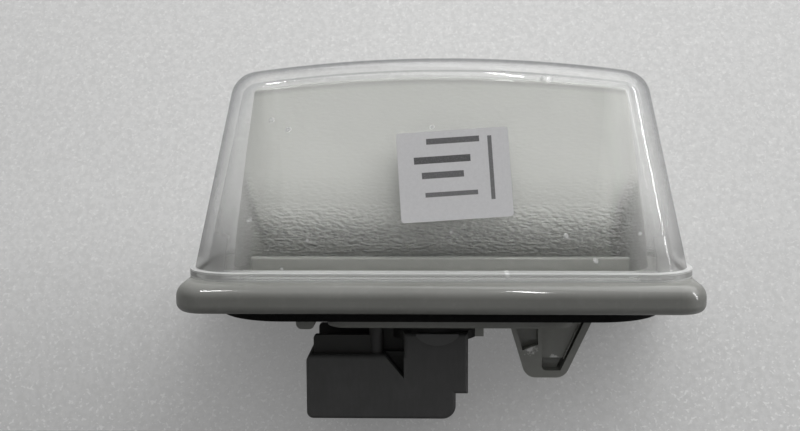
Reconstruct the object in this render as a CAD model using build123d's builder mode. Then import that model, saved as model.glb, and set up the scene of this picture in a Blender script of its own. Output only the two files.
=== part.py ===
"""Number plate lamp: a clear lens cup over a light hood, on a grey housing that
snaps into a body panel and carries a twist-in bulb holder with a side plug.

Millimetres. X runs along the lamp, +Y goes from the hood's closed side to its
open side, +Z points out of the panel through the lens. The origin is the middle
of the gasket's seat on the panel.
"""
import os
from math import atan, cos, radians, sin

from build123d import *

# Gasket and flange
GASKET_L, GASKET_W, GASKET_R, GASKET_T = 78.2, 32.6, 12.0, 2.0
GASKET_HOLE_L, GASKET_HOLE_W, GASKET_HOLE_R = 61.0, 23.6, 4.0
FLANGE_L, FLANGE_W, FLANGE_R = 90.4, 42.0, 5.0
FLANGE_TOP, PLATE_T = 7.15, 2.5
FLANGE_TOP_EDGE, FLANGE_LOW_EDGE = 2.6, 1.5

# Pan that goes through the panel, with the holder's bayonet bore
PAN_X0, PAN_X1, PAN_W, PAN_R, PAN_Z0 = -20.2, 24.0, 19.0, 3.6, -2.6
POCKET_X0, POCKET_X1, POCKET_W, POCKET_R = -26.8, 30.0, 22.6, 3.5
WALL = 2.0
AXIS_X = -1.0
BORE_R, NOTCH_R, NOTCH_W, NOTCH_TURN = 6.6, 7.4, 4.4, 45.0

# Ribs, lugs and snap clip
RIB_L, RIB_Y0, RIB_T, RIB_TOP = 65.0, 12.2, 1.6, 10.8
PEG_X0, PEG_X1, PEG_Y0, PEG_Y1, PEG_Z0 = -25.5, -22.2, -9.3, -5.3, -2.8
TAB_X0, TAB_X1, TAB_Z0 = 6.3, 7.8, -4.0
CLIP_W, CLIP_EDGE, CLIP_IN_EDGE, CLIP_DEEP, CLIP_FACE = 9.0, 2.4, 0.8, 2.8, 1.0
CLIP_BODY = [(12.4, -2.0), (15.6, -12.6), (22.6, -12.6), (28.9, 0.9), (27.6, 0.9), (26.2, -2.0)]
CLIP_SLIT = [(25.7, -2.0), (26.2, -2.0), (21.9, -11.3), (21.4, -11.3)]
CLIP_WINDOW = [(13.6, -2.7), (17.8, -2.7), (17.8, -6.6), (15.0, -7.6)]
CLIP_TONGUE = [(18.5, -2.7), (25.3, -2.7), (22.3, -9.1), (18.5, -9.1)]
CLIP_FOOT = [(18.5, -9.1), (22.9, -9.1), (21.9, -11.3), (18.5, -11.3)]

# Lens cup
LENS_L, LENS_W, LENS_R, LENS_TOP_R = 87.0, 33.8, 8.0, 6.6
LENS_SIDE_LEAN, LENS_FACE_LEAN = 0.201, 0.2126
LENS_LOFT_TOP, LENS_WALL, LENS_EDGE, LENS_IN_EDGE = 47.5, 2.0, 5.0, 3.0
LENS_CROWN_Z, LENS_CROWN_R = 44.9, 242.0
LIP_L, LIP_W, LIP_R, LIP_T = 88.0, 36.0, 8.8, 1.4
TONGUE_L, TONGUE_W, TONGUE_R, TONGUE_T, TONGUE_DEEP = 85.6, 33.4, 7.6, 1.2, 0.8
PLAY = 0.1

# Hood sections: height, front, half width, corner radius
HOOD_SECTIONS = [
    (FLANGE_TOP, -7.1, 38.2, 9.0),
    (12.43, -9.85, 37.4, 10.0),
    (17.71, -11.3, 36.4, 9.6),
    (22.99, -11.05, 35.5, 8.4),
    (28.27, -9.6, 34.8, 7.1),
    (33.55, -7.7, 34.07, 5.65),
    (38.83, -5.78, 33.41, 4.6),
    (44.11, -3.85, 32.8, 4.0),
]
HOOD_WALL, HOOD_BACK, HOOD_BACK_LEAN = 1.8, 11.0, 0.18
HOOD_CROWN_Z, HOOD_CROWN_R, HOOD_EDGE, HOOD_IN_EDGE = 41.6, 262.0, 0.8, 0.4
FOOT_X, FOOT_Y, FOOT_T, FOOT_W, FOOT_DEEP = 37.2, 6.5, 1.2, 5.0, 1.4

# Bulb holder
NECK_R, LUG_R, LUG_W, LUG_T, NECK_TOP = 6.3, 7.2, 4.0, 1.8, 4.5
SEAL_R, SEAL_BORE, SEAL_T, COLLAR_T = 8.0, 6.35, 1.2, 1.6
SLOT_L, SLOT_W, SLOT_Z0 = 10.0, 4.6, -7.4
HOLDER_W, HOLDER_EDGE = 15.6, 0.7
SHELL_X0, SHELL_X1, SHELL_Z0, SHELL_Z1 = -24.0, 2.9, -19.6, -7.9
BLOCK_X0, BLOCK_X1, BLOCK_Z0 = -6.4, 5.1, -14.9
MOUTH_DEEP, MOUTH_W, MOUTH_R, MOUTH_Z0, MOUTH_Z1 = 12.0, 12.0, 1.0, -17.9, -9.9
LATCH_X0, LATCH_Y, LATCH_T, LATCH_Z1, LATCH_R = -22.8, 5.0, 1.3, -4.6, 0.6
POST_X0, POST_X1, POST_W, POST_R, POST_Z1 = -12.7, -10.2, 12.4, 1.2, -3.0
WEB_X1, WEB_W = -5.6, 6.0
RECESS = [(-10.2, -7.5), (-6.4, -7.5), (-6.4, -12.1)]
RECESS_DEEP = 3.4
GRIP_X, GRIP_W, GRIP_Z0, GRIP_Y0, GRIP_Y1 = -0.4, 7.6, -5.9, -8.6, -7.4

# Contacts
BLADE_OUT, BLADE_Y, BLADE_T, BLADE_Z0, BLADE_Z1 = 6.0, 2.2, 0.8, -14.9, -12.6
SPRING_Y0, SPRING_Y1, SPRING_X0, SPRING_X1, SPRING_TOP = 1.75, 2.2, 1.1, 4.1, 3.2

# Wedge bulb
BULB_R, BULB_WALL, BULB_LOW, BULB_SIDE, BULB_TOP = 5.0, 0.6, 4.8, 15.5, 20.5
PINCH_L, PINCH_W, PINCH_Z0, PINCH_Z1 = 9.5, 2.4, -6.0, 6.6
LEAD_R, LEAD_X, LEAD_FOLD, FILAMENT_R, FILAMENT_Z = 0.25, 1.8, 1.47, 0.28, 12.6

# Paper label on the lens
LABEL_L, LABEL_H, LABEL_R, LABEL_T, LABEL_GAP = 19.2, 15.5, 0.6, 0.12, 0.01
LABEL_X, LABEL_Z, LABEL_TILT = 2.6, 25.0, 3.8

PAN_X, PAN_L, PAN_FLOOR = (PAN_X0 + PAN_X1) / 2, PAN_X1 - PAN_X0, PAN_Z0 + WALL
PLATE_LOW = FLANGE_TOP - PLATE_T
COLLAR_TOP = PAN_Z0 - SEAL_T
COLLAR_Z0 = COLLAR_TOP - COLLAR_T
HOLDER_AXIS = Axis((AXIS_X, 0, 0), (0, 0, 1))
HOLDER_SIDE = Plane(origin=(AXIS_X, 0, 0), x_dir=(1, 0, 0), z_dir=(0, -1, 0))


def box(x, y, z, mode=Mode.ADD):
    """Box between three pairs of limits."""
    limits = (x, y, z)
    with Locations(tuple((low + high) / 2 for low, high in limits)):
        return Box(*(high - low for low, high in limits), mode=mode)


def above_crown(top, radius, half=60.0):
    """What stands above a crown that is highest in the middle of the lamp."""
    side = top - (radius - (radius**2 - half**2) ** 0.5)
    with BuildPart() as cutter:
        with BuildSketch(Plane.XZ):
            with BuildLine():
                ThreePointArc((-half, side), (0, top), (half, side))
                Polyline((half, side), (half, top + 30), (-half, top + 30), (-half, side))
            make_face()
        extrude(amount=40, both=True)
    return cutter.part


def lens_block(inset, crown, edge):
    """Tapered block of the lens cup, moved in from its outside by a wall."""
    rise = LENS_LOFT_TOP - FLANGE_TOP
    top_l = LENS_L - 2 * rise * LENS_SIDE_LEAN
    top_w = LENS_W - 2 * rise * LENS_FACE_LEAN
    sections = ((FLANGE_TOP, LENS_L, LENS_W, LENS_R), (LENS_LOFT_TOP, top_l, top_w, LENS_TOP_R))
    with BuildPart() as block:
        for z, long, wide, corner in sections:
            with BuildSketch(Plane.XY.offset(z)):
                RectangleRounded(long - 2 * inset, wide - 2 * inset, corner - inset)
        loft(ruled=True)
        add(crown, mode=Mode.SUBTRACT)
        fillet(block.faces().sort_by(Axis.Z)[-1].edges(), edge)
    return block.part


def hood_block(inset, back_extra, crown, edge):
    """Block of the hood lofted through its sections, moved in by a wall."""
    with BuildPart() as block:
        for z, front, half, corner in HOOD_SECTIONS:
            y0, w, r = front + inset, half - inset, corner - inset
            y1 = HOOD_BACK - HOOD_BACK_LEAN * (z - FLANGE_TOP) + back_extra
            bend = r * (1 - sin(radians(45)))
            with BuildSketch(Plane.XY.offset(z)):
                with BuildLine():
                    Line((-w + r, y0), (w - r, y0))
                    ThreePointArc((w - r, y0), (w - bend, y0 + bend), (w, y0 + r))
                    Polyline((w, y0 + r), (w, y1), (-w, y1), (-w, y0 + r))
                    ThreePointArc((-w, y0 + r), (-w + bend, y0 + bend), (-w + r, y0))
                make_face()
        loft()
        add(crown, mode=Mode.SUBTRACT)
        rim = block.faces().sort_by(Axis.Z)[-1].edges().sort_by(Axis.Y)[:-1]
        fillet(rim, edge)
    return block.part


# Gasket: foam ring between the flange and the panel
with BuildPart() as gasket:
    with BuildSketch():
        RectangleRounded(GASKET_L, GASKET_W, GASKET_R)
        RectangleRounded(GASKET_HOLE_L, GASKET_HOLE_W, GASKET_HOLE_R, mode=Mode.SUBTRACT)
    extrude(amount=GASKET_T)

# Housing: flange, pan, ribs, lugs and snap clip in one moulding
with BuildPart() as housing:
    with BuildSketch(Plane.XY.offset(GASKET_T)):
        RectangleRounded(FLANGE_L, FLANGE_W, FLANGE_R)
    extrude(amount=FLANGE_TOP - GASKET_T)
    fillet(housing.faces().sort_by(Axis.Z)[-1].edges(), FLANGE_TOP_EDGE)
    fillet(housing.faces().sort_by(Axis.Z)[0].edges(), FLANGE_LOW_EDGE)

    with BuildSketch(Plane.XY.offset(FLANGE_TOP)):
        RectangleRounded(LIP_L, LIP_W, LIP_R)
    extrude(amount=-FLANGE_TOP_EDGE / 2)

    # underside pocket, then the pan with its hollow
    with BuildSketch(Plane.XY.offset(GASKET_T)):
        with Locations(((POCKET_X0 + POCKET_X1) / 2, 0)):
            RectangleRounded(POCKET_X1 - POCKET_X0, POCKET_W, POCKET_R)
    extrude(amount=PLATE_LOW - GASKET_T, mode=Mode.SUBTRACT)
    with BuildSketch(Plane.XY.offset(PAN_Z0)):
        with Locations((PAN_X, 0)):
            RectangleRounded(PAN_L, PAN_W, PAN_R)
    extrude(amount=PLATE_LOW - PAN_Z0)
    fillet(housing.faces().sort_by(Axis.Z)[0].edges(), 0.5)
    with BuildSketch(Plane.XY.offset(PAN_FLOOR)):
        with Locations((PAN_X, 0)):
            RectangleRounded(PAN_L - 2 * WALL, PAN_W - 2 * WALL, PAN_R - WALL)
    extrude(amount=FLANGE_TOP - PAN_FLOOR, mode=Mode.SUBTRACT)

    # bayonet bore with three notches for the holder's lugs
    with BuildSketch(Plane.XY.offset(PAN_Z0)):
        with Locations((AXIS_X, 0)):
            Circle(BORE_R)
            with PolarLocations(0, 3, start_angle=90 + NOTCH_TURN):
                Rectangle(NOTCH_R, NOTCH_W, align=(Align.MIN, Align.CENTER))
    extrude(amount=WALL, mode=Mode.SUBTRACT)

    # groove for the lens, slots for the hood's feet and ribs that locate the lens
    with BuildSketch(Plane.XY.offset(FLANGE_TOP)):
        outer, inner = PLAY, -TONGUE_T - PLAY
        RectangleRounded(TONGUE_L + 2 * outer, TONGUE_W + 2 * outer, TONGUE_R + outer)
        RectangleRounded(TONGUE_L + 2 * inner, TONGUE_W + 2 * inner, TONGUE_R + inner, mode=Mode.SUBTRACT)
    extrude(amount=-TONGUE_DEEP - PLAY, mode=Mode.SUBTRACT)
    with BuildSketch(Plane.XY.offset(FLANGE_TOP)):
        with Locations((-FOOT_X, FOOT_Y), (FOOT_X, FOOT_Y)):
            Rectangle(FOOT_T + 2 * PLAY, FOOT_W + 2 * PLAY)
    extrude(amount=-FOOT_DEEP - PLAY, mode=Mode.SUBTRACT)
    for side in (-1, 1):
        with BuildSketch(Plane.XY.offset(FLANGE_TOP)):
            with Locations((0, side * (RIB_Y0 + RIB_T / 2))):
                Rectangle(RIB_L, RIB_T)
        extrude(amount=RIB_TOP - FLANGE_TOP)
    fillet(housing.faces().group_by(Axis.Z)[-1].edges().filter_by(Axis.X), 0.4)

    # locating peg under the plate and tab under the pan
    with BuildSketch(Plane.XZ.offset(-PEG_Y1)) as peg:
        with BuildLine():
            Polyline(
                (PEG_X0, PLATE_LOW), (PEG_X1, PLATE_LOW), (PEG_X1, PEG_Z0), (PEG_X0, PEG_Z0), close=True
            )
        make_face()
        fillet(peg.vertices().group_by(Axis.Y)[0], 1.0)
    extrude(amount=PEG_Y1 - PEG_Y0)
    box((TAB_X0, TAB_X1), (-PAN_W / 2 + 0.3, -PAN_W / 2 + WALL), (TAB_Z0, PAN_FLOOR))

    # snap clip: a stiff tongue under the pan, and a leg that springs up from its foot past the pan's end
    with BuildSketch(Plane.XZ.offset(-CLIP_W / 2)) as clip:
        with BuildLine():
            Polyline(*CLIP_BODY, close=True)
        make_face()
        with BuildLine():
            Polyline(*CLIP_SLIT, close=True)
        make_face(mode=Mode.SUBTRACT)
        fillet(clip.vertices().group_by(Axis.Y)[0], CLIP_EDGE)
    extrude(amount=CLIP_W)
    for side in (-1, 1):
        for hollow, deep in ((CLIP_WINDOW, CLIP_DEEP), (CLIP_TONGUE, CLIP_FACE), (CLIP_FOOT, CLIP_DEEP)):
            with BuildSketch(Plane.XZ.offset(side * CLIP_W / 2)) as sunk:
                with BuildLine():
                    Polyline(*hollow, close=True)
                make_face()
                if hollow is CLIP_FOOT:
                    fillet(sunk.vertices().group_by(Axis.Y)[0], CLIP_IN_EDGE)
            extrude(amount=-side * deep, mode=Mode.SUBTRACT)

# Lens: clear cup with a lip and a tongue that is welded into the flange
with BuildPart() as lens:
    add(lens_block(0, above_crown(LENS_CROWN_Z, LENS_CROWN_R), LENS_EDGE))
    with BuildSketch(Plane.XY.offset(FLANGE_TOP)):
        RectangleRounded(LIP_L, LIP_W, LIP_R)
    extrude(amount=LIP_T)
    with BuildSketch(Plane.XY.offset(FLANGE_TOP)):
        RectangleRounded(TONGUE_L, TONGUE_W, TONGUE_R)
    extrude(amount=-TONGUE_DEEP)
    crown_in = above_crown(LENS_CROWN_Z - LENS_WALL, LENS_CROWN_R - LENS_WALL)
    add(lens_block(LENS_WALL, crown_in, LENS_IN_EDGE), mode=Mode.SUBTRACT)
    with BuildSketch(Plane.XY.offset(FLANGE_TOP)):
        RectangleRounded(TONGUE_L - 2 * TONGUE_T, TONGUE_W - 2 * TONGUE_T, TONGUE_R - TONGUE_T)
    extrude(amount=-TONGUE_DEEP, mode=Mode.SUBTRACT)

# Hood: light shell that hides the bulb from behind the car and opens towards the plate
with BuildPart() as hood:
    add(hood_block(0, 0, above_crown(HOOD_CROWN_Z, HOOD_CROWN_R), HOOD_EDGE))
    crown_in = above_crown(HOOD_CROWN_Z - HOOD_WALL, HOOD_CROWN_R - HOOD_WALL)
    add(hood_block(HOOD_WALL, 6.0, crown_in, HOOD_IN_EDGE), mode=Mode.SUBTRACT)
    with BuildSketch(Plane.XY.offset(FLANGE_TOP)):
        with Locations((-FOOT_X, FOOT_Y), (FOOT_X, FOOT_Y)):
            Rectangle(FOOT_T, FOOT_W)
    extrude(amount=-FOOT_DEEP)

# Holder seal: rubber ring under the pan
with BuildPart() as seal:
    with BuildSketch(Plane.XY.offset(COLLAR_TOP)):
        with Locations((AXIS_X, 0)):
            Circle(SEAL_R)
            Circle(SEAL_BORE, mode=Mode.SUBTRACT)
    extrude(amount=SEAL_T)


def contact(side):
    """Brass strip: a spring beside the bulb's wedge and a blade in the plug's mouth."""
    tip = SHELL_X0 + MOUTH_DEEP - BLADE_OUT
    ends = sorted((AXIS_X + side * SPRING_X0, AXIS_X + side * SPRING_X1))
    with BuildPart() as strip:
        box(ends, sorted((side * SPRING_Y0, side * SPRING_Y1)), (BLADE_Z0, SPRING_TOP))
        across = (side * BLADE_Y - BLADE_T / 2, side * BLADE_Y + BLADE_T / 2)
        box((tip, ends[1]), across, (BLADE_Z0, BLADE_Z1))
    return strip


contact_left, contact_right = contact(-1), contact(1)

# Holder: bayonet neck and collar over a block that runs out into the shell of a side plug
with BuildPart() as holder:
    with BuildSketch(Plane.XZ) as outline:
        with BuildLine():
            Polyline(
                (SHELL_X0, SHELL_Z0), (SHELL_X0, SHELL_Z1), (BLOCK_X0, SHELL_Z1), (BLOCK_X0, COLLAR_TOP),
                (BLOCK_X1, COLLAR_TOP), (BLOCK_X1, BLOCK_Z0), (SHELL_X1, BLOCK_Z0), (SHELL_X1, SHELL_Z0),
                close=True,
            )
        make_face()
        fillet(outline.vertices().sort_by(Axis.X)[:2], 1.2)
        fillet(outline.vertices().group_by(Axis.Y)[0].sort_by(Axis.X)[-1], 2.4)
    extrude(amount=HOLDER_W / 2, both=True)
    for end in (0, -1):
        fillet(holder.faces().sort_by(Axis.Y)[end].edges(), HOLDER_EDGE)

    # collar, neck and the bayonet's three lugs
    for low, high, radius in ((COLLAR_Z0, COLLAR_TOP, SEAL_R), (COLLAR_TOP, NECK_TOP, NECK_R)):
        with BuildSketch(Plane.XY.offset(low)):
            with Locations((AXIS_X, 0)):
                Circle(radius)
        extrude(amount=high - low)
    with BuildSketch(Plane.XY.offset(PAN_FLOOR)):
        with Locations((AXIS_X, 0)):
            with PolarLocations(0, 3, start_angle=90):
                Rectangle(LUG_R, LUG_W, align=(Align.MIN, Align.CENTER))
    extrude(amount=LUG_T)

    # half-round grip under the collar's front
    with BuildSketch(Plane.XZ.offset(-GRIP_Y1)):
        with BuildLine():
            left, right, low = GRIP_X - GRIP_W / 2, GRIP_X + GRIP_W / 2, COLLAR_TOP - 0.4
            Polyline((left, low), (left, COLLAR_TOP), (right, COLLAR_TOP), (right, low))
            ThreePointArc((right, low), (GRIP_X, GRIP_Z0), (left, low))
        make_face()
    extrude(amount=GRIP_Y1 - GRIP_Y0)

    # rounded post on the shell, the web behind it and two fins that guide the plug's latch
    with BuildSketch(Plane.XY.offset(SHELL_Z1)):
        with Locations(((POST_X0 + POST_X1) / 2, 0)):
            RectangleRounded(POST_X1 - POST_X0, POST_W, POST_R)
    extrude(amount=POST_Z1 - SHELL_Z1)
    with BuildSketch(Plane.XY.offset(SHELL_Z1)):
        with Locations(((POST_X1 + WEB_X1) / 2 - 0.5, 0)):
            Rectangle(WEB_X1 - POST_X1 + 1.0, WEB_W)
    extrude(amount=COLLAR_TOP - SHELL_Z1)
    for side in (-1, 1):
        with BuildSketch(Plane.XZ.offset(side * LATCH_Y - LATCH_T / 2)) as fin:
            with Locations(((LATCH_X0 + POST_X0 + POST_R) / 2, (SHELL_Z1 + LATCH_Z1) / 2)):
                Rectangle(POST_X0 + POST_R - LATCH_X0, LATCH_Z1 - SHELL_Z1)
            fillet(fin.vertices().group_by(Axis.Y)[-1].sort_by(Axis.X)[0], LATCH_R)
        extrude(amount=LATCH_T)
    with BuildSketch(Plane.XZ.offset(HOLDER_W / 2 - RECESS_DEEP)):
        with BuildLine():
            Polyline(*RECESS, close=True)
        make_face()
    extrude(amount=RECESS_DEEP, mode=Mode.SUBTRACT)

    # mouth of the plug, and the slot for the bulb's wedge
    with BuildSketch(Plane.YZ.offset(SHELL_X0)):
        with Locations((0, (MOUTH_Z0 + MOUTH_Z1) / 2)):
            RectangleRounded(MOUTH_W, MOUTH_Z1 - MOUTH_Z0, MOUTH_R)
    extrude(amount=MOUTH_DEEP, mode=Mode.SUBTRACT)
    with BuildSketch(Plane.XY.offset(NECK_TOP)):
        with Locations((AXIS_X, 0)):
            Rectangle(SLOT_L, SLOT_W)
    extrude(amount=SLOT_Z0 - NECK_TOP, mode=Mode.SUBTRACT)
    add(contact_left.part, mode=Mode.SUBTRACT)
    add(contact_right.part, mode=Mode.SUBTRACT)


def lead(side):
    """Lead wire from the filament through the pinch, folded up its face."""
    fold = side * LEAD_FOLD
    with BuildPart() as wire:
        with BuildLine(Plane.YZ.offset(AXIS_X + side * LEAD_X)):
            Line((0, FILAMENT_Z + LEAD_R), (0, PINCH_Z0))
            ThreePointArc((0, PINCH_Z0), (fold / 2, PINCH_Z0 - LEAD_FOLD / 2), (fold, PINCH_Z0))
            Line((fold, PINCH_Z0), (fold, PINCH_Z0 + 5.0))
        with BuildSketch(Plane.XY.offset(FILAMENT_Z + LEAD_R)):
            with Locations((AXIS_X + side * LEAD_X, 0)):
                Circle(LEAD_R)
        sweep()
    return wire.part


# Bulb leads and filament
with BuildPart() as leads:
    add(lead(-1))
    add(lead(1))
with BuildPart() as filament:
    with Locations((AXIS_X, 0, FILAMENT_Z)):
        Cylinder(FILAMENT_R, 2 * (LEAD_X - LEAD_R) - 0.1, rotation=(0, 90, 0))

# Bulb glass: hollow bulb on a flat pinch that the leads run through
with BuildPart() as glass:
    with BuildSketch(HOLDER_SIDE):
        with BuildLine():
            Polyline((0, BULB_TOP), (0, BULB_LOW), (2.0, BULB_LOW), (BULB_R, 7.6), (BULB_R, BULB_SIDE))
            RadiusArc((BULB_R, BULB_SIDE), (0, BULB_TOP), -BULB_R)
        make_face()
    revolve(axis=HOLDER_AXIS)
    with Locations((AXIS_X, 0, (PINCH_Z0 + PINCH_Z1) / 2)):
        Box(PINCH_L, PINCH_W, PINCH_Z1 - PINCH_Z0)
    fillet(glass.edges().filter_by(Axis.Y).group_by(Axis.Z)[0], 0.8)
    bore = BULB_R - BULB_WALL
    with BuildSketch(HOLDER_SIDE):
        with BuildLine():
            Polyline((0, BULB_SIDE + bore), (0, 7.0), (2.4, 7.0), (bore, 8.6), (bore, BULB_SIDE))
            RadiusArc((bore, BULB_SIDE), (0, BULB_SIDE + bore), -bore)
        make_face()
    revolve(axis=HOLDER_AXIS, mode=Mode.SUBTRACT)
    add(leads.part, mode=Mode.SUBTRACT)

# Label: paper sticker on the lens's front wall, a little askew
lean = atan(LENS_FACE_LEAN)
tilt = radians(LABEL_TILT)
outward = Vector(0, -cos(lean), sin(lean))
label_seat = Vector(LABEL_X, -LENS_W / 2 + LENS_FACE_LEAN * (LABEL_Z - FLANGE_TOP), LABEL_Z)
label_plane = Plane(
    origin=label_seat + outward * LABEL_GAP,
    x_dir=(cos(tilt), sin(tilt) * sin(lean), sin(tilt) * cos(lean)),
    z_dir=outward,
)
with BuildPart() as label:
    with BuildSketch(label_plane):
        RectangleRounded(LABEL_L, LABEL_H, LABEL_R)
    extrude(amount=LABEL_T)

pieces = {
    "gasket": gasket,
    "housing": housing,
    "lens": lens,
    "hood": hood,
    "holder_seal": seal,
    "holder_body": holder,
    "contact_left": contact_left,
    "contact_right": contact_right,
    "bulb_glass": glass,
    "bulb_leads": leads,
    "bulb_filament": filament,
    "paper_label": label,
}
os.makedirs("parts", exist_ok=True)
for name, piece in pieces.items():
    piece.part.label = name
    export_step(piece.part, f"parts/{name}.step")
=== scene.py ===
"""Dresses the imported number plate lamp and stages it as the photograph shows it.

The lamp keeps the frame of its solids, in metres: X along the lamp, +Y from the
hood's closed side to its open side, +Z out of the panel through the lens.
"""
import logging
import math
from dataclasses import dataclass, field
from enum import Enum
from typing import Mapping, Union

import bmesh
import bpy
from mathutils import Matrix, Vector


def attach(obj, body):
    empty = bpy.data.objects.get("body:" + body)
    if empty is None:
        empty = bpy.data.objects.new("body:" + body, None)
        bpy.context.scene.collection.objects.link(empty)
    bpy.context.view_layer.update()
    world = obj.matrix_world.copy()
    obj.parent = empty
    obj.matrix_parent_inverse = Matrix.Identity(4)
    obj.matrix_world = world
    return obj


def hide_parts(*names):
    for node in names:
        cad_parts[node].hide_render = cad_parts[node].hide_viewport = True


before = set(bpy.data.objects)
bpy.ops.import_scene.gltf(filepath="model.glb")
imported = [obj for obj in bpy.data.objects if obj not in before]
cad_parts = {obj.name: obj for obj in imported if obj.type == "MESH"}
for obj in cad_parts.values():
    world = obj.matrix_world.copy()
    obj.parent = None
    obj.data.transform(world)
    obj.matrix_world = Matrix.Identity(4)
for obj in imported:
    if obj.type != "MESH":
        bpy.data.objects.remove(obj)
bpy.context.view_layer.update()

LOG = logging.getLogger("number_plate_lamp")
MM = 0.001
# ramps over height and over half the lamp's length run from zero to these
HIGH = 50.0 * MM
HALF = 40.0 * MM

Triple = tuple[float, float, float]
Colour = Triple
Stops = tuple[tuple[float, float], ...]
Value = Union["Wire", float, int]


class Node(str, Enum):
    """Names of the lamp's solids."""

    GASKET = "gasket"
    HOUSING = "housing"
    LENS = "lens"
    HOOD = "hood"
    SEAL = "holder_seal"
    HOLDER = "holder_body"
    CONTACT_LEFT = "contact_left"
    CONTACT_RIGHT = "contact_right"
    GLASS = "bulb_glass"
    LEADS = "bulb_leads"
    FILAMENT = "bulb_filament"
    LABEL = "paper_label"


class Blend(str, Enum):
    """How two colours are put together."""

    MIX = "MIX"
    MULTIPLY = "MULTIPLY"


class Cells(str, Enum):
    """Which distance a field of random cells gives."""

    NEAREST = "F1"
    SMOOTH = "SMOOTH_F1"


def toned(colour: Colour, factor: float) -> Colour:
    """A colour made darker or brighter."""
    return tuple(factor * part for part in colour)


class Wire:
    """A shader socket that takes part in sums written in Python."""

    def __init__(self, graph: "Graph", socket: bpy.types.NodeSocket) -> None:
        """Keeps the socket and the graph that it belongs to."""
        self.graph = graph
        self.socket = socket

    def _sum(self, operation: str, first: Value, second: Value) -> "Wire":
        """Adds one Math node."""
        return self.graph.node("ShaderNodeMath", {"operation": operation}, {0: first, 1: second})

    def __add__(self, other: Value) -> "Wire":
        """Sum of two values."""
        return self._sum("ADD", self, other)

    def __radd__(self, other: Value) -> "Wire":
        """Sum with a plain number in front."""
        return self._sum("ADD", other, self)

    def __sub__(self, other: Value) -> "Wire":
        """Difference of two values."""
        return self._sum("SUBTRACT", self, other)

    def __rsub__(self, other: Value) -> "Wire":
        """Difference with a plain number in front."""
        return self._sum("SUBTRACT", other, self)

    def __mul__(self, other: Value) -> "Wire":
        """Product of two values."""
        return self._sum("MULTIPLY", self, other)

    def __truediv__(self, other: Value) -> "Wire":
        """Quotient of two values."""
        return self._sum("DIVIDE", self, other)

    def __abs__(self) -> "Wire":
        """Value without its sign."""
        return self._sum("ABSOLUTE", self, 0.0)

    def __gt__(self, other: Value) -> "Wire":
        """One where this value is the larger, else zero."""
        return self._sum("GREATER_THAN", self, other)

    def __lt__(self, other: Value) -> "Wire":
        """One where this value is the smaller, else zero."""
        return self._sum("LESS_THAN", self, other)

    def larger(self, other: Value) -> "Wire":
        """The larger of two values."""
        return self._sum("MAXIMUM", self, other)


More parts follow.
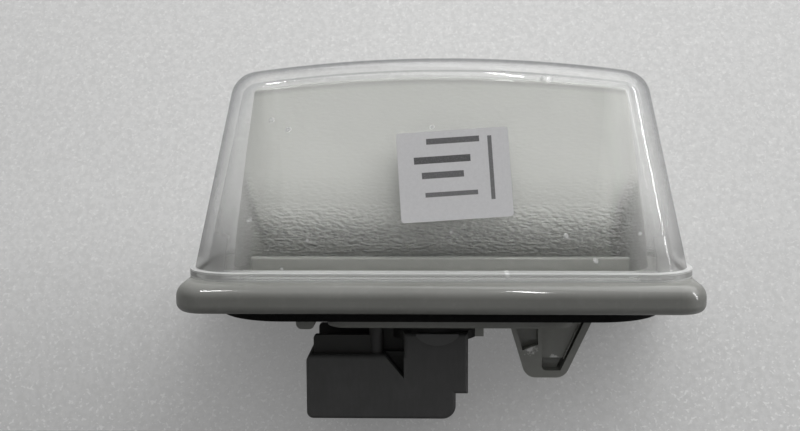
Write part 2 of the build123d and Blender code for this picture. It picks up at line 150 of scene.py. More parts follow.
class Graph:
    """The node tree of one material or of the room."""

    def __init__(self, holder: Union[bpy.types.Material, bpy.types.World]) -> None:
        """Empties the holder's node tree.

        Args:
            holder: What the nodes belong to.
        """
        holder.use_nodes = True
        self.holder = holder
        self.tree = holder.node_tree
        self.tree.nodes.clear()

    @classmethod
    def finish(cls, name: str) -> "Graph":
        """Starts a new material's nodes."""
        return cls(bpy.data.materials.new(name))

    def node(
        self,
        kind: str,
        settings: Mapping[str, object] | None = None,
        sockets: Mapping[Union[int, str], object] | None = None,
        output: Union[int, str] = 0,
    ) -> Wire:
        """Adds a node, sets it up and links it.

        Args:
            kind: Blender's type name of the node.
            settings: Properties that are set first; "stops" fills a ramp.
            sockets: Values or wires of its inputs, by name or number.
            output: The output that is handed back.

        Returns:
            The chosen output as a wire.
        """
        made = self.tree.nodes.new(kind)
        for key, value in (settings or {}).items():
            if key == "stops":
                self._fill_ramp(made, value)
            else:
                setattr(made, key, value)
        for key, value in (sockets or {}).items():
            if isinstance(value, Wire):
                self.tree.links.new(value.socket, made.inputs[key])
            else:
                made.inputs[key].default_value = value
        return Wire(self, made.outputs[output])

    @staticmethod
    def _fill_ramp(made: bpy.types.Node, stops: Stops) -> None:
        """Fills a colour ramp with grey stops.

        Args:
            made: The ramp's node.
            stops: Pairs of place and grey value, in rising order.
        """
        elements = made.color_ramp.elements
        while len(elements) < len(stops):
            elements.new(1.0)
        for element, (place, grey) in zip(elements, stops):
            element.position = place
            element.color = (grey, grey, grey, 1.0)

    def place(
        self,
        scale: Triple = (1.0, 1.0, 1.0),
        turn: Triple = (0.0, 0.0, 0.0),
        shift: Triple = (0.0, 0.0, 0.0),
    ) -> Wire:
        """Object coordinates, moved, turned and stretched.

        Args:
            scale: Factor along each axis.
            turn: Turn about each axis in radians.
            shift: Move along each axis.

        Returns:
            The coordinates as a vector.
        """
        spot = self.node("ShaderNodeTexCoord", output="Object")
        return self.node(
            "ShaderNodeMapping",
            {"vector_type": "POINT"},
            {"Vector": spot, "Location": shift, "Rotation": turn, "Scale": scale},
        )

    def axes(self, vector: Wire) -> tuple[Wire, Wire, Wire]:
        """Splits a vector into its three values."""
        split = self.node("ShaderNodeSeparateXYZ", None, {0: vector}).socket.node
        return tuple(Wire(self, out) for out in split.outputs)

    def noise(
        self, vector: Wire, scale: float, detail: float = 3.0, rough: float = 0.5, bend: float = 0.0
    ) -> Wire:
        """Cloudy noise around one half.

        Args:
            vector: Where it is read.
            scale: Clouds per metre of the coordinates.
            detail: Octaves.
            rough: Weight of the finer octaves.
            bend: How far the clouds are pulled about.

        Returns:
            The noise value.
        """
        return self.node(
            "ShaderNodeTexNoise",
            {"noise_dimensions": "3D"},
            {"Vector": vector, "Scale": scale, "Detail": detail, "Roughness": rough, "Distortion": bend},
        )

    def cells(
        self,
        vector: Wire,
        scale: float,
        feature: Cells = Cells.NEAREST,
        rough: float = 0.0,
        dimensions: str = "3D",
    ) -> Wire:
        """Distance field of random cells.

        Args:
            vector: Where it is read.
            scale: Cells per metre of the coordinates.
            feature: Which distance is taken.
            rough: Weight of finer cells.
            dimensions: Whether the cells fill space or lie in the first two axes.

        Returns:
            The distance value.
        """
        return self.node(
            "ShaderNodeTexVoronoi",
            {"feature": feature.value, "voronoi_dimensions": dimensions},
            {"Vector": vector, "Scale": scale, "Roughness": rough},
            "Distance",
        )

    def ramp(self, value: Value, stops: Stops) -> Wire:
        """Bends a value through grey stops."""
        return self.node("ShaderNodeValToRGB", {"stops": stops}, {0: value})

    def mix(self, factor: Value, first: object, second: object, blend: Blend = Blend.MIX) -> Wire:
        """Puts two colours together.

        Args:
            factor: Share of the second colour.
            first: Colour or wire at factor zero.
            second: Colour or wire at factor one.
            blend: How they are put together.

        Returns:
            The mixed colour.
        """
        pair = [c if isinstance(c, Wire) else (*c, 1.0) for c in (first, second)]
        return self.node(
            "ShaderNodeMix",
            {"data_type": "RGBA", "blend_type": blend.value},
            {0: factor, 6: pair[0], 7: pair[1]},
            2,
        )

    def bump(self, height: Wire, depth: float, strength: float = 1.0, under: Wire | None = None) -> Wire:
        """Surface relief from a height.

        Args:
            height: Height from zero to one.
            depth: Metres that the height stands for.
            strength: How much of it is felt.
            under: A relief that this one lies on.

        Returns:
            The bent normal.
        """
        sockets: dict[Union[int, str], object] = {"Height": height, "Distance": depth, "Strength": strength}
        if under is not None:
            sockets["Normal"] = under
        return self.node("ShaderNodeBump", None, sockets)

    def sight(self) -> Wire:
        """Tells what the camera sees straight or through clear pieces.

        Returns:
            One for such a ray, else zero.
        """
        path = self.node("ShaderNodeLightPath").socket.node
        camera, clear, scattered = (
            Wire(self, path.outputs[name]) for name in ("Is Camera Ray", "Is Transmission Ray", "Diffuse Depth")
        )
        return camera.larger(clear * (scattered < 0.5))

    def skin(self, **sockets: object) -> Wire:
        """Adds a Principled shader.

        Args:
            **sockets: Its inputs; underscores in names stand for spaces, colours have three parts.

        Returns:
            The shader.
        """
        named = {key.replace("_", " "): value for key, value in sockets.items()}
        flat = {k: (*v, 1.0) if isinstance(v, tuple) and len(v) == 3 else v for k, v in named.items()}
        return self.node("ShaderNodeBsdfPrincipled", None, flat)

    def layer(self, factor: Value, under: Wire, over: Wire) -> Wire:
        """Lays one shader over another by a factor."""
        return self.node("ShaderNodeMixShader", None, {0: factor, 1: under, 2: over})

    def lit_through(self, surface: Wire, tint: Colour) -> Wire:
        """Lets light pass a clear piece, so that it throws a pale shadow.

        Args:
            surface: The piece's shader.
            tint: Colour that the passing light takes.

        Returns:
            The shader with its pale shadow.
        """
        through = self.node("ShaderNodeBsdfTransparent", None, {0: (*tint, 1.0)})
        return self.layer(self.node("ShaderNodeLightPath", output="Is Shadow Ray"), surface, through)

    def end(self, surface: Wire, kind: str = "ShaderNodeOutputMaterial") -> bpy.types.Material:
        """Sends a shader to the output.

        Args:
            surface: The finished shader.
            kind: Blender's type name of the output node.

        Returns:
            The holder of the nodes.
        """
        out = self.tree.nodes.new(kind)
        self.tree.links.new(surface.socket, out.inputs["Surface"])
        return self.holder


@dataclass(frozen=True)
class MouldedPlastic:
    """Semi-gloss moulded plastic with a faint mould grain, paler where it was strained, with painted light and
    shade by height: lighter below the flange and on its top, darker on its front face.
    """

    name: str
    colour: Colour
    dark: Colour
    rough: float = 0.42
    grain: float = 2600.0
    depth: float = 0.012 * MM
    dust_tone: Colour = (0.6, 0.6, 0.57)
    stress: tuple[tuple[Triple, float], ...] = ()
    stress_tone: Colour = (0.92, 0.92, 0.9)
    # height range and ramp of the painted light and shade
    painted_light_from: float = -15.0 * MM
    painted_light_over: float = 25.0 * MM
    pale: Stops = ((0.47, 1.0), (0.56, 0.2), (0.7, 0.0), (0.85, 0.1), (0.885, 0.4))

    def material(self) -> bpy.types.Material:
        """Makes the finish.

        Returns:
            The material.
        """
        g = Graph.finish(self.name)
        spot = g.place()
        cloud = g.noise(spot, 90.0, detail=4.0, rough=0.6)
        fine = g.noise(spot, self.grain, rough=0.6)
        dust = g.ramp(g.noise(spot, 520.0, detail=5.0, rough=0.7), ((0.52, 0.0), (0.72, 1.0)))
        tone = g.mix(g.ramp(cloud, ((0.35, 0.0), (0.65, 1.0))), self.dark, self.colour)
        tone = g.mix(dust * 0.06, tone, self.dust_tone)
        # painted light and shade by height: lighter below the flange and on the top, darker on the flange's
        # front face
        pale = g.ramp((g.axes(spot)[2] - self.painted_light_from) / self.painted_light_over, self.pale)
        tone = g.mix(1.0, tone, pale * 0.45 + 0.93, Blend.MULTIPLY)
        torn = g.noise(spot, 1500.0, detail=4.0, rough=0.7)
        for centre, reach in self.stress:
            away = g.node("ShaderNodeVectorMath", {"operation": "DISTANCE"}, {0: spot, 1: centre}, "Value")
            mark = g.ramp(away / reach + (torn - 0.5) * 2.4, ((0.45, 0.9), (0.75, 0.0)))
            tone = g.mix(mark, tone, self.stress_tone)
        shine = self.rough + (cloud - 0.5) * 0.12 + dust * 0.08 + (fine - 0.5) * 0.05
        relief = g.bump(fine, self.depth, 0.5)
        return g.end(
            g.skin(
                Base_Color=tone, Roughness=shine, Normal=relief, Specular_IOR_Level=0.3, Coat_Weight=0.5,
                Coat_Roughness=0.05,
            )
        )


@dataclass(frozen=True)
class ScuffedPlastic:
    """Dark filled plastic, dusty and scuffed on its outer faces; its other faces get painted shade, a much
    darker tone, and the front of its grip gets a painted highlight.
    """

    name: str
    # tone of the painted shade on the inner and recessed faces
    painted_shade_tone: Colour
    scuffed: Colour
    half_width: float = 7.8 * MM
    under_below: float = -18.4 * MM
    tip_before: float = -23.2 * MM
    grip_from: float = -4.3 * MM
    grip_to: float = 3.5 * MM
    grip_above: float = -6.0 * MM
    grip_stand: float = 0.2 * MM
    relief_depth: float = 0.02 * MM

    def material(self) -> bpy.types.Material:
        """Makes the finish.

        Returns:
            The material.
        """
        g = Graph.finish(self.name)
        along, across, up = g.axes(g.place())
        face = g.ramp(abs(across) / self.half_width, ((0.72, 0.0), (0.86, 1.0)))
        outer = face.larger(up < self.under_below).larger(along < self.tip_before)
        cloud = g.noise(g.place(), 150.0, detail=4.0, rough=0.65)
        fine = g.noise(g.place(), 3000.0, rough=0.6)
        scratch = g.noise(g.place(scale=(1.0, 1.0, 0.22), turn=(0.0, 0.5, 0.0)), 1300.0, rough=0.6)
        wear_and_shade = outer * g.ramp(cloud * 0.6 + scratch * 0.4, ((0.3, 0.72), (0.62, 1.0)))
        # painted shade: faces other than the front and back faces, the underside and the tip take the much
        # darker shaded tone; noise mixes some of it into those faces as wear
        tone = g.mix(wear_and_shade, self.painted_shade_tone, self.scuffed)
        # painted highlight: the front face of the grip is painted lighter
        grip = (along > self.grip_from) * (along < self.grip_to) * (up > self.grip_above)
        grip = grip * (across < -self.half_width - self.grip_stand)
        tone = g.mix(grip * 0.6, tone, toned(self.scuffed, 1.7))
        shine = 0.6 - wear_and_shade * 0.08 + (fine - 0.5) * 0.08
        relief = g.bump(fine, self.relief_depth, 0.6, g.bump(scratch, self.relief_depth, 0.3))
        return g.end(g.skin(Base_Color=tone, Roughness=shine, Normal=relief, Specular_IOR_Level=0.35))


@dataclass(frozen=True)
class GrainedPlastic:
    """Silver-grey satin plastic of the hood with a streaky leather grain, darkest near its foot, where painted
    shade lies in the grain's valleys; painted shade also darkens its top, its right side, its lower right
    corner and a band along its crown, and painted light brightens its upper left end.
    """

    name: str
    colour: Colour
    rough: float = 0.55
    silver: float = 0.03
    # the crown's curve, along which a band of painted shade runs
    crown: float = 41.6 * MM
    crown_radius: float = 262.0 * MM
    crown_line: float = 2.5 * MM
    grain_depth: float = 0.7 * MM
    grain: Stops = ((0.2, 0.6), (0.26, 1.0), (0.33, 0.9), (0.4, 0.12), (0.5, 0.03))
    # ramp of the painted shade near the foot, by height
    foot_shade: Stops = (
        (0.22, 0.25), (0.262, 0.85), (0.28, 1.0), (0.3, 0.85), (0.32, 0.4), (0.345, 0.12), (0.38, 0.0)
    )

    def material(self) -> bpy.types.Material:
        """Makes the finish.

        Returns:
            The material.
        """
        g = Graph.finish(self.name)
        streak = g.place(scale=(0.46, 0.5, 1.0))
        waves = g.noise(streak, 2500.0, detail=1.0, rough=0.4, bend=0.25)
        pores = g.cells(streak, 2300.0, Cells.SMOOTH)
        along, _, up = g.axes(g.place())
        high, right = up / HIGH, along / HALF
        horn = g.ramp(abs(right), ((0.78, 0.0), (0.86, 1.0)))
        level = high - horn * 0.16
        height = (waves * 0.7 + pores * 0.6) * g.ramp(level, self.grain) * (1.0 - horn * 0.7)
        cloud = g.ramp(g.noise(g.place(), 70.0), ((0.35, 0.0), (0.65, 1.0)))
        tone = g.mix(cloud, toned(self.colour, 0.96), self.colour)
        # painted shade: the hood is painted darker from 25 mm up, fully above 40 mm
        tone = g.mix(g.ramp(high, ((0.5, 1.0), (0.8, 0.0))), toned(self.colour, 0.74), tone)
        # painted shade near the foot, laid into the valleys of the grain
        valley_shade = g.ramp(waves, ((0.42, 1.0), (0.58, 0.62))) * g.ramp(level, self.foot_shade)
        # painted light on the upper left end and painted shade on the right side
        left_painted_light = g.ramp(right * -1.0, ((0.695, 0.0), (0.77, 0.7), (0.84, 1.0)))
        left_painted_light = left_painted_light * g.ramp(high, ((0.3, 0.0), (0.45, 1.0)))
        side = g.ramp(right, ((0.72, 0.0), (0.8, 1.0)))
        # painted shade at the lower right corner
        corner_shade = side * g.ramp(high, ((0.36, 1.0), (0.48, 0.0)))
        tone = g.mix(1.0, tone, 0.97 + left_painted_light * 0.36 - side * 0.08, Blend.MULTIPLY)
        tone = g.mix(valley_shade * 0.54, tone, toned(self.colour, 0.3))
        tone = g.mix(corner_shade * 0.8, tone, toned(self.colour, 0.25))
        # painted shade: a dark band along the crown where the hood's top meets the lens
        over_crown = up + along * along / (2.0 * self.crown_radius) - self.crown
        line = g.ramp(over_crown / self.crown_line + 1.0, ((0.4, 0.0), (0.8, 1.0)))
        tone = g.mix(line * 0.55, tone, toned(self.colour, 0.35))
        relief = g.bump(height, self.grain_depth)
        shine = self.rough + (waves - 0.5) * 0.15
        return g.end(g.skin(Base_Color=tone, Metallic=self.silver, Roughness=shine, Normal=relief))


@dataclass(frozen=True)
class ClearPlastic:
    """Clear moulded plastic, darker at its edges, with a grey veil over its front corners that darkens towards
    the bottom, milky at its welded foot, with painted highlights as milky lines along its lip and its seat.
    """

    name: str
    tint: Colour = (0.98, 0.983, 0.978)
    edge_tint: Colour = (0.33, 0.335, 0.345)
    milk: Colour = (0.74, 0.745, 0.74)
    veil_grey_low: Colour = (0.25, 0.25, 0.245)
    veil_grey_high: Colour = (0.55, 0.55, 0.54)
    shadow: Colour = (0.96, 0.963, 0.958)
    rough: float = 0.012
    index: float = 1.0
    gloss: float = 0.7
    edge_gloss: float = 0.35
    seat: float = 7.15 * MM
    lip: float = 8.55 * MM
    edge_from: float = 10.55 * MM
    wall: float = 10.0 * MM
    wall_lean: float = 0.18
    end_lean: float = 0.2
    end: float = 1.0 / 23.0
    veil: Stops = ((0.17, 0.62), (0.27, 0.5), (0.42, 0.3), (0.8, 0.05))

    def material(self) -> bpy.types.Material:
        """Makes the finish.

        Returns:
            The material.
        """
        g = Graph.finish(self.name)
        spot = g.place()
        along, across, up = g.axes(spot)
        high = up / HIGH
        haze = g.ramp(g.noise(spot, 240.0, detail=5.0, rough=0.65), ((0.5, 0.0), (0.8, 1.0)))
        upright = g.place(turn=(-math.pi / 2, 0.0, 0.0))
        dust = g.ramp(g.cells(upright, 75.0, dimensions="2D"), ((0.012, 1.0), (0.04, 0.0)))
        dust = dust * (g.noise(spot, 60.0, detail=1.0) > 0.52)
        body, edge = (
            g.skin(
                Base_Color=tint, Roughness=self.rough + haze * 0.03, IOR=self.index, Transmission_Weight=1.0,
                Coat_Weight=g.ramp(high, ((0.17, 0.25), (0.3, gloss))), Coat_IOR=1.5, Coat_Roughness=0.02,
            )
            for tint, gloss in ((self.tint, self.gloss), (self.edge_tint, self.edge_gloss))
        )
        over_seat = up - self.seat
        fore = g.ramp((over_seat * self.wall_lean - across) / self.wall, ((0.8, 0.0), (1.0, 1.0)))
        crown = g.ramp(up / HALF, ((0.86, 0.0), (1.0, 1.0)))
        front = (fore * (up > self.edge_from)).larger(crown)
        facing = g.node("ShaderNodeLayerWeight", None, {0: 0.5}, "Facing")
        first = g.node("ShaderNodeLightPath", output="Transmission Depth") < 0.5
        rim = g.ramp(facing, ((0.3, 0.0), (0.68, 1.0))) * front * (first * 0.65 + 0.35)
        body = g.layer(rim, body, edge)
        lean = abs(along) + over_seat * self.end_lean
        # a grey veil over the front corners, darker towards the bottom
        veil = fore * g.ramp(lean / self.end, ((0.74, 0.0), (0.87, 1.0))) * g.ramp(high, self.veil)
        grey = g.mix(g.ramp(high, ((0.22, 0.0), (0.45, 1.0))), self.veil_grey_low, self.veil_grey_high)
        body = g.layer(veil, body, g.skin(Base_Color=grey, Roughness=0.5))
        foot = up < self.lip + 0.05 * MM
        # painted highlights: milky lines along the top of the lip and along the seat
        rim_highlights = (up > self.lip - 0.3 * MM) * (up < self.lip + 0.1 * MM) + (up < self.seat + 0.3 * MM)
        milky = g.skin(Base_Color=self.milk, Roughness=0.3 + haze * 0.1)
        cloudy = g.layer(foot * 0.22 + rim_highlights * 0.4 + haze * 0.012 + dust * 0.5, body, milky)
        return g.end(g.lit_through(cloudy, self.shadow))


@dataclass(frozen=True)
class Foam:
    """Closed-cell foam or soft rubber, nearly black."""

    name: str
    colour: Colour
    cell: float = 2200.0
    depth: float = 0.12 * MM
    rough: float = 0.85
    lint_tone: Colour = (0.16, 0.16, 0.15)

    def material(self) -> bpy.types.Material:
        """Makes the finish.

        Returns:
            The material.
        """
        g = Graph.finish(self.name)
        spot = g.place()
        cell = g.cells(spot, self.cell, Cells.SMOOTH, rough=0.4)
        lint = g.ramp(g.noise(spot, 900.0, detail=5.0, rough=0.7), ((0.6, 0.0), (0.78, 1.0)))
        tone = g.mix(lint * 0.05, self.colour, self.lint_tone)
        relief = g.bump(cell, self.depth, 0.7)
        shine = self.rough + (cell - 0.5) * 0.1
        return g.end(g.skin(Base_Color=tone, Roughness=shine, Normal=relief, Specular_IOR_Level=0.15))


@dataclass(frozen=True)
class Metal:
    """Bare metal with a drawn grain and some tarnish."""

    name: str
    colour: Colour
    tarnish: Colour
    rough: float = 0.3
    depth: float = 0.008 * MM

    def material(self) -> bpy.types.Material:
        """Makes the finish.

        Returns:
            The material.
        """
        g = Graph.finish(self.name)
        cloud = g.ramp(g.noise(g.place(), 420.0, detail=4.0, rough=0.6), ((0.4, 0.0), (0.7, 1.0)))
        drawn = g.noise(g.place(scale=(0.15, 1.0, 1.0)), 5200.0, detail=2.0)
        tone = g.mix(cloud * 0.55, self.colour, self.tarnish)
        relief = g.bump(drawn, self.depth, 0.4)
        shine = self.rough + cloud * 0.22 + (drawn - 0.5) * 0.1
        return g.end(g.skin(Base_Color=tone, Metallic=1.0, Roughness=shine, Normal=relief))


@dataclass(frozen=True)
class Glass:
    """Thin clear glass."""

    name: str
    tint: Colour = (0.985, 0.99, 0.985)
    shadow: Colour = (0.94, 0.945, 0.94)

    def material(self) -> bpy.types.Material:
        """Makes the finish.

        Returns:
            The material.
        """
        g = Graph.finish(self.name)
        shine = 0.01 + (g.noise(g.place(), 180.0) - 0.4) * 0.02
        body = g.skin(Base_Color=self.tint, Roughness=shine, IOR=1.5, Transmission_Weight=1.0)
        return g.end(g.lit_through(body, self.shadow))


@dataclass(frozen=True)
class Bar:
    """One printed bar of the label, in millimetres from the label's middle."""

    left: float
    right: float
    low: float
    high: float
    ink: float


@dataclass(frozen=True)
class Paper:
    """Thin grey-white paper with plain printed bars."""

    name: str
    colour: Colour
    ink: Colour
    middle: Vector
    lean: float
    tilt: float
    bars: tuple[Bar, ...]
    depth: float = 0.02 * MM
    cover: float = 0.86

    def material(self) -> bpy.types.Material:
        """Makes the finish.

        Returns:
            The material.
        """
        g = Graph.finish(self.name)
        turn = Matrix.Rotation(self.tilt, 3, "Y") @ Matrix.Rotation(self.lean, 3, "X")
        shift = -(turn @ self.middle)
        across, _, up = g.axes(g.place(turn=tuple(turn.to_euler("XYZ")), shift=tuple(shift)))
        inked: Value = 0.0
        for bar in self.bars:
            wide = (across > bar.left * MM) * (across < bar.right * MM)
            inked = wide * (up > bar.low * MM) * (up < bar.high * MM) * bar.ink + inked
        worn = g.ramp(g.noise(g.place(), 5200.0, detail=4.0, rough=0.7), ((0.25, 0.82), (0.5, 1.0)))
        printed = inked * worn
        fibre = g.noise(g.place(), 1900.0, detail=5.0, rough=0.65)
        paper = g.mix(g.ramp(fibre, ((0.3, 0.0), (0.7, 1.0))), toned(self.colour, 0.93), self.colour)
        tone = g.mix(printed, paper, self.ink)
        relief = g.bump(fibre, self.depth, 0.5)
        shine = 0.7 + (fibre - 0.5) * 0.2
        cover = printed * (1.0 - self.cover) + self.cover
        return g.end(g.skin(Base_Color=tone, Roughness=shine, Normal=relief, Alpha=cover))


def dress(piece: bpy.types.Object, material: bpy.types.Material) -> None:
    """Gives a piece its one material.

    Args:
        piece: The object that is dressed.
        material: Its finish.
    """
    if piece.material_slots:
        for held in piece.material_slots:
            held.material = material
    else:
        piece.data.materials.append(material)
    LOG.info("%s wears %s", piece.name, material.name)


def put(name: str, data: bpy.types.ID) -> bpy.types.Object:
    """Puts a mesh, a light or a camera into the scene.

    Args:
        name: The object's name.
        data: What it shows.

    Returns:
        The new object.
    """
    made = bpy.data.objects.new(name, data)
    bpy.context.scene.collection.objects.link(made)
    return made


def put_mesh(name: str, bm: bmesh.types.BMesh) -> bpy.types.Object:
    """Puts a finished bmesh into the scene and frees it.

    Args:
        name: Name of the mesh and of its object.
        bm: The finished shape.

    Returns:
        The new object.
    """
    mesh = bpy.data.meshes.new(name)
    bm.to_mesh(mesh)
    bm.free()
    return put(name, mesh)


@dataclass
class LampBody:
    """Gasket, housing, hood and lens."""

    housing: MouldedPlastic = MouldedPlastic(
        "housing_grey", (0.207, 0.209, 0.194), (0.19, 0.192, 0.177),
        stress=(((0.0163, -0.0045, -0.007), 0.0017), ((0.0207, -0.0038, -0.0093), 0.0012)),
    )
    gasket: Foam = Foam("gasket_black_foam", (0.006, 0.006, 0.006))
    hood: GrainedPlastic = GrainedPlastic("hood_pale_grain", (0.528, 0.531, 0.507))
    lens: ClearPlastic = ClearPlastic("lens_clear_plastic")

    def dress(self) -> None:
        """Dresses the solids."""
        pairs = (
            (Node.GASKET, self.gasket),
            (Node.HOUSING, self.housing),
            (Node.HOOD, self.hood),
            (Node.LENS, self.lens),
        )
        for node, finish in pairs:
            dress(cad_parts[node.value], finish.material())


@dataclass
class BulbHolder:
    """Twist-in holder with its seal, contacts and bulb; the filament is wound in fine wire."""

    coil_from: Vector = field(default_factory=lambda: Vector((-2.5, 0.0, 12.6)) * MM)
    coil_length: float = 3.0 * MM
    coil_radius: float = 0.22 * MM
    wire_radius: float = 0.045 * MM
    wire_sides: int = 8
    turns: int = 15
    steps_per_turn: int = 14
    holder: ScuffedPlastic = ScuffedPlastic("holder_dark_scuffed", (0.021, 0.021, 0.02), (0.08, 0.08, 0.08))
    seal: Foam = Foam("seal_black_rubber", (0.012, 0.012, 0.012), cell=3800.0, depth=0.03 * MM, rough=0.6)
    brass: Metal = Metal("contact_brass_strip", (0.72, 0.52, 0.24), (0.36, 0.24, 0.11))
    wire: Metal = Metal("lead_nickel_wire", (0.6, 0.59, 0.57), (0.3, 0.29, 0.28), rough=0.25)
    tungsten: Metal = Metal("filament_tungsten", (0.33, 0.32, 0.31), (0.16, 0.16, 0.17), rough=0.4)
    glass: Glass = Glass("bulb_clear_glass")

    def dress(self) -> None:
        """Dresses the solids and winds the filament."""
        brass = self.brass.material()
        tungsten = self.tungsten.material()
        pairs = (
            (Node.HOLDER, self.holder.material()),
            (Node.SEAL, self.seal.material()),
            (Node.CONTACT_LEFT, brass),
            (Node.CONTACT_RIGHT, brass),
            (Node.GLASS, self.glass.material()),
            (Node.LEADS, self.wire.material()),
            (Node.FILAMENT, tungsten),
        )
        for node, material in pairs:
            dress(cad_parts[node.value], material)
        self.wind(tungsten)

    def wind(self, tungsten: bpy.types.Material) -> bpy.types.Object:
        """Winds the filament in place of its plain solid.

        Args:
            tungsten: The wire's finish.

        Returns:
            The wound filament.
        """
        steps = self.turns * self.steps_per_turn
        travel = self.coil_length - 2.0 * self.wire_radius
        start = self.coil_from + Vector((self.wire_radius, 0.0, 0.0))
        rim = Matrix.Translation(start + Vector((0.0, 0.0, self.coil_radius)))
        section = rim @ Matrix.Rotation(math.pi / 2, 4, "X")
        bm = bmesh.new()
        bmesh.ops.create_circle(bm, segments=self.wire_sides, radius=self.wire_radius, matrix=section)
        bmesh.ops.spin(
            bm, geom=bm.edges[:], cent=start, axis=(1.0, 0.0, 0.0), dvec=(travel / steps, 0.0, 0.0),
            angle=2.0 * math.pi * self.turns, steps=steps,
        )
        bmesh.ops.holes_fill(bm, edges=[edge for edge in bm.edges if edge.is_boundary])
        bmesh.ops.recalc_face_normals(bm, faces=bm.faces[:])
        for face in bm.faces:
            face.smooth = len(face.verts) == 4
        coil = put_mesh("filament_coil", bm)
        dress(coil, tungsten)
        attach(coil, "root")
        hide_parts(Node.FILAMENT.value)
        return coil


@dataclass
class PaperLabel:
    """Paper sticker on the lens's front wall."""

    middle: Vector = field(default_factory=lambda: Vector((2.6, -13.11, 25.0)) * MM)
    lean: float = math.atan(0.2126)
    tilt: float = math.radians(3.8)
    colour: Colour = (0.89, 0.887, 0.9)
    ink: Colour = (0.018, 0.018, 0.02)
    bars: tuple[Bar, ...] = (
        Bar(-4.5, 4.6, 5.5, 6.5, 0.85),
        Bar(-6.8, 2.9, 2.2, 3.4, 0.9),
        Bar(-5.6, 1.6, -0.4, 0.7, 0.85),
        Bar(-5.2, 3.8, -3.6, -2.8, 0.8),
        Bar(6.0, 6.7, -4.6, 6.4, 0.8),
    )

    def dress(self) -> None:
        """Dresses the solid."""
        paper = Paper(
            "label_paper_print", self.colour, self.ink, self.middle, self.lean, self.tilt, self.bars
        )
        dress(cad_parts[Node.LABEL.value], paper.material())


@dataclass
class Table:
    """Pale table that the lamp leans back on, and the floor under it."""

    rise: float = 1.68
    through: Triple = (0.0, 0.021, 0.0028)
    size: float = 1.3
    floor_z: float = -25.6 * MM
    card_colour: Colour = (0.585, 0.585, 0.58)
    card_glow: float = 0.17
    floor_colour: Colour = (0.62, 0.62, 0.615)
    shade_low: float = -37.5 * MM
    shade_high: float = 125.0 * MM
    shade_wide: float = 250.0 * MM
    by_height: Stops = ((0.0, 0.66), (0.4, 0.9), (1.0, 1.05))
    by_width: Stops = ((0.1, 0.88), (0.5, 1.0), (0.9, 0.93))
    at_foot: Stops = ((0.28, 1.0), (0.52, 0.08), (0.58, 0.08), (0.66, 0.0))

    def sheet(self, name: str, turn: Matrix, colour: Colour, one_sided: bool) -> bpy.types.Object:
        """Makes one flat stage sheet.

        Args:
            name: The sheet's name.
            turn: Its place.
            colour: Its colour.
            one_sided: Whether it is seen from its front alone.

        Returns:
            The sheet.
        """
        bm = bmesh.new()
        bmesh.ops.create_grid(bm, x_segments=2, y_segments=2, size=self.size, matrix=turn)
        made = put_mesh(name, bm)
        made.data.materials.append(self.material(name, colour, one_sided))
        return made

    def material(self, name: str, colour: Colour, one_sided: bool) -> bpy.types.Material:
        """Pale speckled table top with the photograph's shade.

        Args:
            name: The sheet's name.
            colour: Its colour.
            one_sided: Whether its back is clear.

        Returns:
            The material.
        """
        g = Graph.finish(name + "_pale")
        spot = g.place()
        along, _, up = g.axes(spot)
        high = (up - self.shade_low) / self.shade_high
        wide = along / self.shade_wide + 0.5
        low = g.ramp(high, ((0.05, 1.0), (0.35, 0.0)))
        speck = g.ramp(g.noise(spot, 900.0, detail=2.0, rough=0.6), ((0.38, 0.0), (0.62, 1.0)))
        fleck = g.ramp(g.noise(spot, 1500.0, detail=1.0), ((0.6, 0.0), (0.7, 1.0)))
        grain = speck * 0.8 + g.noise(spot, 12.0) * 0.2
        tone = g.mix(grain, toned(colour, 0.9), toned(colour, 1.06))
        tone = g.mix(fleck * (low * 0.4 + 0.32), tone, toned(colour, 1.5))
        shade = g.ramp(high, self.by_height) * g.ramp(wide, self.by_width)
        shade = shade * (1.0 - low * (g.ramp(wide, self.at_foot) - 0.4) * 0.24)
        tone = g.mix(1.0, tone, shade, Blend.MULTIPLY)
        top = g.skin(Base_Color=tone, Roughness=0.9, Specular_IOR_Level=0.0)
        if not one_sided:
            return g.end(top)
        glow = g.node("ShaderNodeEmission", None, {0: g.sight() * self.card_glow, 1: 1.0})
        top = g.node("ShaderNodeAddShader", None, {0: top, 1: glow})
        back = g.node("ShaderNodeNewGeometry", output="Backfacing")
        return g.end(g.layer(back, top, g.node("ShaderNodeBsdfTransparent")))

    def build(self) -> None:
        """Builds the leaning table top and the floor."""
        lean = Matrix.Translation(self.through) @ Matrix.Rotation(math.atan(self.rise), 4, "X")
        card = self.sheet("table_top", lean, self.card_colour, True)
        card.visible_shadow = False
        floor = self.sheet("floor", Matrix.Translation((0.0, 0.0, self.floor_z)), self.floor_colour, False)
        floor.visible_diffuse = False
        LOG.info("stage: %s, %s", card.name, floor.name)


@dataclass(frozen=True)
class Panel:
    """One flat lamp that faces the number plate lamp."""

    name: str
    spot: Triple
    across: float
    along: float
    watts: float
    gloss_only: bool = False


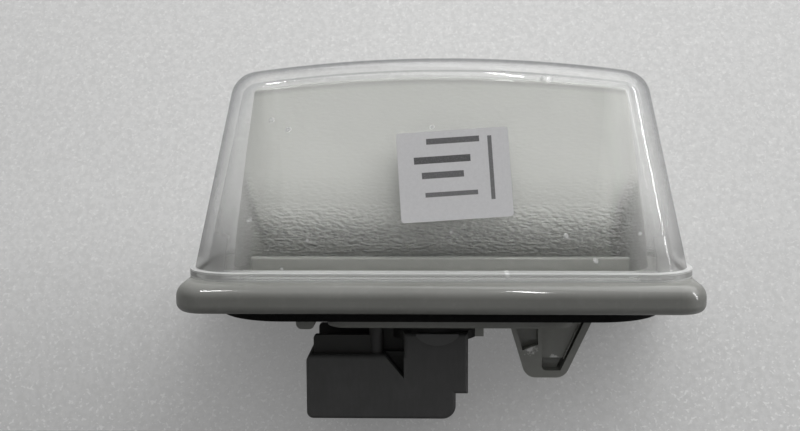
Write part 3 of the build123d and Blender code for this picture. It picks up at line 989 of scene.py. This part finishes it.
@dataclass
class Lighting:
    """A broad ceiling and a window on the right, three slim lamps for gloss alone, and the room."""

    panels: tuple[Panel, ...] = (
        Panel("ceiling", (0.4, 0.18, 0.9), 1.4, 1.0, 11.0),
        Panel("window", (2.2, -0.5, 1.3), 1.1, 0.9, 8.6),
        Panel("strip", (1.0, -0.3, 0.3), 0.05, 0.9, 6.0, gloss_only=True),
        Panel("tube_1", (-0.24, -0.5, 0.8), 0.022, 0.2, 1.2, gloss_only=True),
        Panel("tube_2", (0.08, -0.5, 0.8), 0.018, 0.2, 0.8, gloss_only=True),
    )
    room: Stops = ((0.0, 0.24), (0.4, 0.1), (0.52, 0.055), (0.9, 0.9))
    seen: float = 0.62

    def build(self) -> None:
        """Builds the lamps and the world."""
        for panel in self.panels:
            lamp = bpy.data.lights.new(panel.name, "AREA")
            lamp.shape = "RECTANGLE"
            lamp.size, lamp.size_y = panel.across, panel.along
            lamp.energy = panel.watts
            held = put(lamp.name, lamp)
            held.location = panel.spot
            held.rotation_euler = (-Vector(panel.spot)).to_track_quat("-Z", "Y").to_euler()
            held.visible_diffuse = not panel.gloss_only
        self.world()

    def world(self) -> None:
        """Builds the room: brightest overhead, and an even pale grey where the camera sees it."""
        world = bpy.data.worlds.new("room")
        bpy.context.scene.world = world
        g = Graph(world)
        _, _, up = g.axes(g.node("ShaderNodeTexCoord", output="Generated"))
        level = g.ramp(up * 0.5 + 0.5, self.room)
        light = g.node("ShaderNodeBackground", None, {0: level, 1: 1.0})
        pale = g.node("ShaderNodeBackground", None, {0: (self.seen, self.seen, self.seen, 1.0), 1: 1.0})
        g.end(g.layer(g.sight(), light, pale), "ShaderNodeOutputWorld")


@dataclass
class Viewpoint:
    """The photograph's camera, low in front of the lamp."""

    spot: Triple = (0.0006, -0.219, 0.042)
    down: float = 6.65
    aside: float = 2.04
    sensor: float = 36.0
    focal_pixels: float = 1205.0
    photo_pixels: float = 800.0
    nearest: float = 5.0 * MM

    def build(self) -> None:
        """Builds the camera and makes it the scene's."""
        data = bpy.data.cameras.new("viewpoint")
        data.sensor_fit, data.sensor_width = "HORIZONTAL", self.sensor
        data.lens = self.focal_pixels / self.photo_pixels * self.sensor
        data.clip_start = self.nearest
        camera = put("viewpoint", data)
        pitch = Matrix.Rotation(math.radians(90.0 - self.down), 4, "X")
        yaw = Matrix.Rotation(math.radians(self.aside), 4, "Y")
        camera.matrix_world = Matrix.Translation(self.spot) @ pitch @ yaw
        bpy.context.scene.camera = camera


def main() -> None:
    """Builds the lamp's looks, its stage, its light and its camera."""
    logging.basicConfig(level=logging.INFO, format="%(name)s: %(message)s")
    bpy.context.scene.view_settings.view_transform = "Standard"
    LampBody().dress()
    BulbHolder().dress()
    PaperLabel().dress()
    Table().build()
    Lighting().build()
    Viewpoint().build()


if __name__ == "__main__":
    main()
